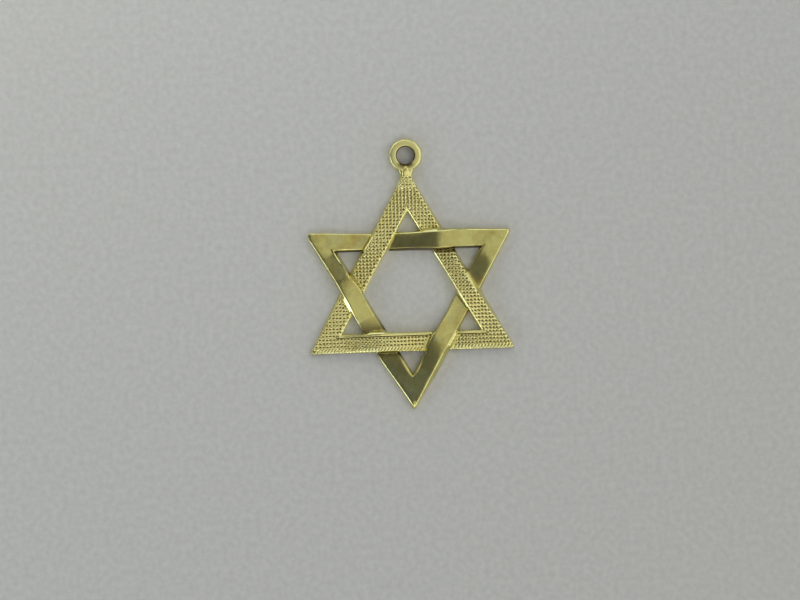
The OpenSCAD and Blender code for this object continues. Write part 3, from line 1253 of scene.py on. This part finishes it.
@dataclass(frozen=True)
class Brass:
    """Yellow brass: a clear metal colour, with the marks that its making left, and painted shade
    with some tarnish in its hollows.
    """

    name: str
    colour: str
    stain_colour: str
    roughness: float
    roughness_spread: float
    # Width and height of the finest scratches, and of the face's slow sway
    scratch_mm: float
    scratch_height_mm: float
    sway_mm: float
    sway_height_mm: float
    # Width of the clouds that stain the metal and change its roughness
    cloud_mm: float = 2.5
    # Greenish bloom that handling leaves in patches
    bloom: float = 0.1
    bloom_colour: str = "#C4CDA8"
    bloom_mm: float = 2.2
    # Painted shade and dirt at the bottom of the pits, where the piece has any, and roughness that
    # the pits add
    pit_shade_and_dirt_colour: str = ""
    pit_roughness: float = 0.2
    # Brown painted shade, with some tarnish, on the walls and in the crevices, and the roughness
    # that it adds
    shade_and_tarnish_colour: str = "#5C4C24"
    shade_and_tarnish_roughness: float = 0.15
    # Values of the patterns, or of the pit mark, between which each effect comes in
    stain_range: tuple[float, float] = (0.42, 0.68)
    bloom_range: tuple[float, float] = (0.5, 0.75)
    rough_range: tuple[float, float] = (0.3, 0.7)
    pit_range: tuple[float, float] = (0.15, 0.8)

    def material(self) -> bpy.types.Material:
        """Builds the finish.

        Returns:
            The material, which reads the pit mark where the finish has a pit colour.
        """
        made = new_material(self.name)
        tree = made.node_tree
        place = add_node(tree, PLACE)["Object"]
        cloud, scratch, sway, patches = (
            add_node(tree, NOISE, {"Vector": place}, {"Scale": 1 / (size * MM), **shape})["Fac"]
            for size, shape in (
                (self.cloud_mm, {"Detail": 7.0, "Roughness": 0.68}),
                (self.scratch_mm, {"Detail": 2.0}),
                (self.sway_mm, {"Detail": 1.0}),
                (self.bloom_mm, {"Detail": 3.0, "Distortion": 0.4}),
            )
        )
        stain = add_node(tree, RANGE, {"Value": cloud},
                         {"From Min": self.stain_range[0], "From Max": self.stain_range[1]})[0]
        haze = add_node(tree, RANGE, {"Value": patches}, {
            "From Min": self.bloom_range[0], "From Max": self.bloom_range[1], "To Max": self.bloom,
        })[0]
        rough = add_node(tree, RANGE, {"Value": cloud}, {
            "From Min": self.rough_range[0], "From Max": self.rough_range[1],
            "To Min": self.roughness - self.roughness_spread,
            "To Max": self.roughness + self.roughness_spread,
        })[0]
        # This mark paints shade, with some tarnish, in brown over the metal
        shade_share = add_node(tree, MARK, attribute_name="shade_and_tarnish")["Fac"]
        # Each layer lies over the ones before it, and some make the metal rougher
        layers = [
            (haze, self.bloom_colour, 0.0),
            (shade_share, self.shade_and_tarnish_colour, self.shade_and_tarnish_roughness),
        ]
        if self.pit_shade_and_dirt_colour:
            # The pit mark paints shade and dirt into the pits and the rope's seams
            pit = add_node(tree, MARK, attribute_name="pit")["Fac"]
            sunk = add_node(tree, RANGE, {"Value": pit},
                            {"From Min": self.pit_range[0], "From Max": self.pit_range[1]})[0]
            layers.append((sunk, self.pit_shade_and_dirt_colour, self.pit_roughness))
        colour = add_node(tree, MIX, {"Fac": stain},
                          {"Color1": linear(self.colour), "Color2": linear(self.stain_colour)})[0]
        for share, code, rougher in layers:
            colour = add_node(tree, MIX, {"Fac": share, "Color1": colour},
                              {"Color2": linear(code)})[0]
            if rougher:
                rough = add_node(tree, MATH, {0: share, 2: rough}, {1: rougher},
                                 operation="MULTIPLY_ADD")[0]
        slow = add_node(tree, BUMP, {"Height": sway},
                        {"Strength": 1.0, "Distance": self.sway_height_mm * MM})[0]
        fine = add_node(tree, BUMP, {"Height": scratch, "Normal": slow},
                        {"Strength": 1.0, "Distance": self.scratch_height_mm * MM})[0]
        shader = add_node(tree, SHADER, {"Base Color": colour, "Roughness": rough, "Normal": fine},
                          {"Metallic": 1.0})[0]
        add_node(tree, SURFACE, {"Surface": shader})
        return made


# Hand-buffed brass mirrors the room softly, and its face sways a little under the light
POLISHED_BRASS = Brass(
    "polished_brass", "#EDE690", "#D0BC68", roughness=0.17, roughness_spread=0.05, scratch_mm=0.12,
    scratch_height_mm=0.0022, sway_mm=1.4, sway_height_mm=0.018, bloom=0.35,
)
# Struck brass is duller than the buffed band, and its pits are painted brown for shade and dirt
STRUCK_BRASS = Brass(
    "struck_brass", "#F8F0A0", "#EBDF8A", roughness=0.26, roughness_spread=0.04, scratch_mm=0.09,
    scratch_height_mm=0.0004, sway_mm=1.6, sway_height_mm=0.003, pit_shade_and_dirt_colour="#80692C",
)
# The loop was only tumbled, so its face is softer than the polished band
TUMBLED_BRASS = Brass(
    "tumbled_brass", "#F8F1A2", "#EEE494", roughness=0.32, roughness_spread=0.05, scratch_mm=0.1,
    scratch_height_mm=0.001, sway_mm=1.4, sway_height_mm=0.006,
)


@dataclass(frozen=True)
class Paper:
    """Uncoated drawing paper: matt, with a faint grain of fibres."""

    colour: str = "#D8D6C9"
    shade: str = "#CDCBBE"
    # Side of the sheet in metres
    size: float = 3.0
    # Width and height of the grain, and width of the clouds in the pulp. Real fibres are finer
    # than a pixel, so they are drawn as coarse as they need to show
    grain_mm: float = 0.45
    grain_height_mm: float = 0.03
    cloud_mm: float = 0.7

    def build(self) -> bpy.types.Object:
        """Lays the sheet under the pendant.

        Returns:
            The floor's object.
        """
        half = self.size / 2
        corners = [(-half, -half, 0), (half, -half, 0), (half, half, 0), (-half, half, 0)]
        mesh = bpy.data.meshes.new("paper")
        mesh.from_pydata(corners, [], [(0, 1, 2, 3)])
        mesh.materials.append(self.material())
        return placed("paper", mesh)

    def material(self) -> bpy.types.Material:
        """Builds the paper's finish.

        Returns:
            The material.
        """
        made = new_material("drawing_paper")
        tree = made.node_tree
        place = add_node(tree, PLACE)["Object"]
        fibres = add_node(tree, NOISE, {"Vector": place},
                          {"Scale": 1 / (self.grain_mm * MM), "Detail": 4.0})["Fac"]
        bump = add_node(tree, BUMP, {"Height": fibres},
                        {"Strength": 0.4, "Distance": self.grain_height_mm * MM})[0]
        cloud = add_node(tree, NOISE, {"Vector": place},
                         {"Scale": 1 / (self.cloud_mm * MM), "Detail": 3.0})["Fac"]
        thick = add_node(tree, RANGE, {"Value": cloud}, {"From Min": 0.3, "From Max": 0.7})[0]
        tone = add_node(tree, MIX, {"Fac": thick},
                        {"Color1": linear(self.shade), "Color2": linear(self.colour)})[0]
        shader = add_node(tree, SHADER, {"Base Color": tone, "Normal": bump},
                          {"Roughness": 0.9, "Specular IOR Level": 0.2})[0]
        add_node(tree, SURFACE, {"Surface": shader})
        return made


@dataclass(frozen=True)
class SoftBox:
    """A soft box around the table, with its sizes as the pendant sees them."""

    name: str
    # Its direction from +X towards +Y, and the height of its middle, in degrees
    azimuth: float
    elevation: float
    # Its width and height in degrees
    wide: float
    tall: float
    # How bright its face looks, where white paper in the light is about 0.4
    radiance: float
    # Its distance in metres. A near one lights its own side of the paper more
    distance: float = 1.0
    colour: str = LAMP_WHITE


SOFT_BOXES = (
    SoftBox("window", 208, 19, 44, 19, 3.5, 0.36, "#D5E2FF"),
    SoftBox("north window", 100, 24, 60, 30, 1.25, 0.14, "#E0E8FF"),
    SoftBox("west wall", 140, 16, 44, 28, 1.0, 0.14),
    SoftBox("north-west ceiling", 118, 62, 40, 26, 0.12),
    SoftBox("west shelf", 200, 77.5, 5, 4, 0.17, 1.0, "#B8CCFF"),
    SoftBox("east wall", 0, 13, 120, 11, 1.45, 1.0, "#E2E9FF"),
    SoftBox("east window", 0, 42, 90, 28, 0.9, 1.0, "#EAEEFF"),
    SoftBox("south window", 270, 13, 60, 14, 1.7, 1.0, "#E2E9FF"),
    SoftBox("south lamp", 270, 50, 40, 26, 1.0),
)


@dataclass
class Studio:
    """Camera straight above the pendant and soft light that leaves the west side dim."""

    star: Vector
    # Where the photograph's middle lies from the star's centre, in millimetres on the picture
    aim_right: float = -1.236
    aim_up: float = -1.02
    roll: float = -2.1
    # Height of the camera over the face, and width of what it sees there, in metres
    height: float = 0.6
    field: float = 0.096
    sensor: float = 36.0
    clip: tuple[float, float] = (0.01, 10.0)
    face_z: float = 0.7 * MM
    room_colour: str = "#E2EAFF"
    room_light: float = 0.126
    # Middle and sides of the bright ceiling in metres. Its west edge is about above the star
    ceiling_place: tuple[float, float, float] = (1.23, 0.0, 1.2)
    ceiling_size: tuple[float, float] = (2.56, 3.2)
    ceiling_light: float = 0.4

    def camera(self) -> None:
        """Hangs the camera so that the star lies where the photograph has it."""
        turn = math.radians(self.roll)
        right = Vector((math.cos(turn), math.sin(turn), 0))
        up = Vector((-math.sin(turn), math.cos(turn), 0))
        data = bpy.data.cameras.new("camera")
        data.sensor_width = self.sensor
        data.lens = self.sensor * self.height / self.field
        data.clip_start, data.clip_end = self.clip
        eye = bpy.data.objects.new("camera", data)
        eye.location = self.star + (right * self.aim_right + up * self.aim_up) * MM
        eye.location.z = self.face_z + self.height
        eye.rotation_euler = (0, 0, turn)
        bpy.context.scene.collection.objects.link(eye)
        bpy.context.scene.camera = eye

    def panel(self, name: str, place: Vector, target: Vector, size: tuple[float, float],
              radiance: float, colour: str = LAMP_WHITE) -> None:
        """Hangs one lamp with a soft rectangular face.

        Args:
            name: Name of the lamp.
            place: Its centre, in metres.
            target: Point that it faces.
            size: Its two sides, in metres.
            radiance: How bright its face looks, where white paper in the light is about 0.4.
            colour: Its hex colour.
        """
        data = bpy.data.lights.new(name, "AREA")
        data.shape = "RECTANGLE"
        data.size, data.size_y = size
        data.energy = radiance * math.pi * size[0] * size[1]
        data.color = linear(colour)[:3]
        lamp = bpy.data.objects.new(name, data)
        lamp.location = place
        lamp.rotation_mode = "QUATERNION"
        lamp.rotation_quaternion = (target - place).to_track_quat("-Z", "Y")
        lamp.visible_camera = False
        bpy.context.scene.collection.objects.link(lamp)

    def stand(self, box: SoftBox) -> None:
        """Stands a soft box in its place, facing the pendant.

        Args:
            box: Sizes of the soft box.
        """
        turn, lift = math.radians(box.azimuth), math.radians(box.elevation)
        level = math.cos(lift)
        way = Vector((level * math.cos(turn), level * math.sin(turn), math.sin(lift)))
        size = tuple(2 * box.distance * math.tan(math.radians(a) / 2) for a in (box.wide, box.tall))
        self.panel(box.name, way * box.distance, Vector((0, 0, 0)), size, box.radiance, box.colour)

    def light(self) -> None:
        """Hangs a wide ceiling over the east side, with windows and walls low around the table."""
        scene = bpy.context.scene
        scene.view_settings.view_transform = "Standard"
        scene.world = bpy.data.worlds.new("room")
        scene.world.use_nodes = True
        room = scene.world.node_tree.nodes["Background"].inputs
        room["Color"].default_value = linear(self.room_colour)
        room["Strength"].default_value = self.room_light
        place = Vector(self.ceiling_place)
        below = Vector((place.x, place.y, 0))
        self.panel("ceiling", place, below, self.ceiling_size, self.ceiling_light)
        for box in SOFT_BOXES:
            self.stand(box)


def main() -> None:
    """Builds the pendant and its setting, and reports each piece."""
    logging.basicConfig(level=logging.INFO, format="%(name)s: %(message)s")
    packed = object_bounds()
    plan = StarPlan()
    loop = HangingLoop(plan)
    star = Vector((0, packed[1].y - (plan.loop_y + plan.loop_d / 2) * MM, 0))
    studio = Studio(star)
    studio.camera()
    studio.light()
    floor = Paper().build()
    LOG.info("paper floor laid")

    polished, struck, tumbled = (
        finish.material() for finish in (POLISHED_BRASS, STRUCK_BRASS, TUMBLED_BRASS)
    )
    wave, walls = Wave(plan), Walls()
    plain = WovenTriangle(plan, wave, walls, plan.polished_w, plan.textured_w,
                          Facing.AWAY_FROM_LOOP, POLISHED_LEGS, steps=150, tilts=POLISHED_TILTS)
    plain_piece = plain.build("polished_triangle", star, polished)
    LOG.info("polished triangle: %d faces", len(plain_piece.data.polygons))
    # Its stations lie closer than the other's, because each pit needs a few of them
    pitted = StruckTriangle(plan, wave, walls, plan.textured_w, plan.polished_w,
                            Facing.TO_LOOP, STRUCK_LEGS, steps=400)
    pitted_piece = pitted.build("textured_triangle", star, struck)
    punch = PitPunch()
    punch.punch(pitted_piece, star, struck)
    LOG.info("textured triangle: %d faces", len(pitted_piece.data.polygons))
    loop_piece = loop.build(star, tumbled)
    neck_pieces = Neck(plan).build(star, struck)
    for piece in neck_pieces:
        punch.punch(piece, star, struck)
    LOG.info("loop: %d faces, neck: %d pieces", len(loop_piece.data.polygons), len(neck_pieces))
    pendant = fuse("pendant", plain_piece, [pitted_piece, loop_piece, *neck_pieces])
    LOG.info("pendant: %d faces", len(pendant.data.polygons))
    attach(pendant, BODY)
    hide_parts(NODE)


if __name__ == "__main__":
    main()
